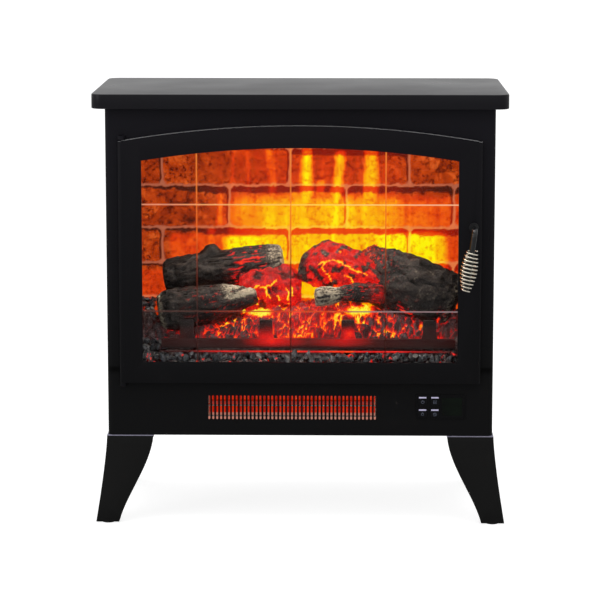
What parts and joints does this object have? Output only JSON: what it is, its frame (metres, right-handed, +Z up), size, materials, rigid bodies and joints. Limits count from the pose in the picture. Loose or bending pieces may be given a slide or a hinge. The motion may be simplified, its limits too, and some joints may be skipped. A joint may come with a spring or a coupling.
{
  "type": "electric fireplace",
  "caption": "Electric stove heater: black steel cabinet on flared legs, arched glass door with spring-grip handle, log and ember bed, brick flame screen and fan heater.",
  "frame": {"origin": "centre of the bounding box at the floor", "axes": "+Z up, -Y is the front with the door, +X to the right seen from the front"},
  "size_m": [0.6106, 0.3305, 0.645],
  "materials": {
    "cabinet_black": "satin black powder coat",
    "slab_black": "fibreboard with satin black lacquer",
    "galvanised": "zinc plated",
    "leg_black": "black paint",
    "spacer_nylon": "moulded",
    "pad_rubber": "moulded",
    "gland_nylon": "moulded",
    "liner_black": "matte black",
    "brick_resin": "printed translucent screen lit from behind",
    "ember_resin": "moulded translucent resin",
    "grate_iron": "matte",
    "log_char": "moulded and painted resin",
    "log_bark": "moulded and painted resin",
    "log_glow": "moulded translucent resin lit from inside",
    "coal": "moulded resin",
    "board_green": "circuit board",
    "motor_steel": "plain",
    "bush_nylon": "moulded",
    "reflector": "polished",
    "quartz": "clear quartz round a glowing filament",
    "end_cap": "fired ceramic",
    "wire": "drawn",
    "fan_aluminium": "plain",
    "cutout": "phenolic",
    "panel_plastic": "gloss black",
    "lens_plastic": "smoked",
    "light_plastic": "lit lavender white",
    "magnet": "nickel plated",
    "door_glass": "clear with engraved grid lines",
    "gasket": "woven rope",
    "handle_steel": "satin black",
    "grip_nickel": "bright nickel plated",
    "button_plastic": "moulded black"
  },
  "bodies": {
    "cabinet": {"top_slab": "slab_black", "cabinet_top_plate": "cabinet_black", "front_panel": "cabinet_black", "side_panel_left": "cabinet_black", "side_panel_right": "cabinet_black", "rear_panel": "cabinet_black", "rear_panel_screws": "galvanised", "base_pan": "galvanised", "leg_front_left": "leg_black", "leg_front_right": "leg_black", "leg_rear_left": "leg_black", "leg_rear_right": "leg_black", "leg_spacers": "spacer_nylon", "foot_pads": "pad_rubber", "leg_bolts": "galvanised", "cord_gland": "gland_nylon", "firebox_liner": "liner_black", "brick_screen": "brick_resin", "ember_bed": "ember_resin", "ember_light_board": "board_green", "fire_grate": "grate_iron", "log_rear_left": "log_char", "log_front_left": "log_bark", "log_glowing_left": "log_glow", "log_glowing_right": "log_glow", "log_right": "log_char", "stick_front": "log_bark", "loose_coals": "coal", "flame_light_board": "board_green", "flame_motor": "motor_steel", "spindle_bush": "bush_nylon", "heater_housing": "galvanised", "heat_reflector": "reflector", "quartz_tubes": "quartz", "tube_end_caps": "end_cap", "guard_wires": "wire", "blower_housing": "galvanised", "blower_motor": "motor_steel", "thermal_cutout": "cutout", "power_board": "board_green", "control_bezel": "panel_plastic", "display_lens": "lens_plastic", "indicator_lights": "light_plastic", "control_board": "board_green", "hinge_brackets": "handle_steel", "latch_magnet": "magnet"},
    "door": {"door_frame": "cabinet_black", "door_glass": "door_glass", "door_gasket": "gasket", "glass_clips": "galvanised", "handle_washer": "handle_steel"},
    "handle": {"handle_rod": "handle_steel", "grip_spring": "grip_nickel", "latch_keeper": "galvanised"},
    "spindle": {"flame_spindle": "fan_aluminium"},
    "blower": {"blower_wheel": "fan_aluminium"},
    "button_power": {"button_power": "button_plastic"},
    "button_heat": {"button_heat": "button_plastic"},
    "button_flame": {"button_flame": "button_plastic"},
    "button_timer": {"button_timer": "button_plastic"}
  },
  "joints": [
    {"name": "door_swing", "type": "hinge", "parent": "cabinet", "child": "door", "pos_m": [-0.26175, -0.1115, 0.4], "axis": [0, 0, -1], "range_deg": [0, 110]},
    {"name": "handle_turn", "type": "hinge", "parent": "door", "child": "handle", "pos_m": [0.255, -0.11675, 0.4495], "axis": [0, -1, 0], "range_deg": [0, 90]},
    {"name": "flame_spindle_spin", "type": "hinge", "parent": "cabinet", "child": "spindle", "pos_m": [0, 0.07525, 0.3], "axis": [1, 0, 0], "continuous": true},
    {"name": "blower_spin", "type": "hinge", "parent": "cabinet", "child": "blower", "pos_m": [-0.012, 0.04525, 0.18], "axis": [1, 0, 0], "continuous": true},
    {"name": "button_power_press", "type": "slide", "parent": "cabinet", "child": "button_power", "axis": [0, 1, 0], "range_m": [0, 0.0012], "stiffness_N_per_m": 500},
    {"name": "button_heat_press", "type": "slide", "parent": "cabinet", "child": "button_heat", "axis": [0, 1, 0], "range_m": [0, 0.0012], "stiffness_N_per_m": 500},
    {"name": "button_flame_press", "type": "slide", "parent": "cabinet", "child": "button_flame", "axis": [0, 1, 0], "range_m": [0, 0.0012], "stiffness_N_per_m": 500},
    {"name": "button_timer_press", "type": "slide", "parent": "cabinet", "child": "button_timer", "axis": [0, 1, 0], "range_m": [0, 0.0012], "stiffness_N_per_m": 500}
  ]
}
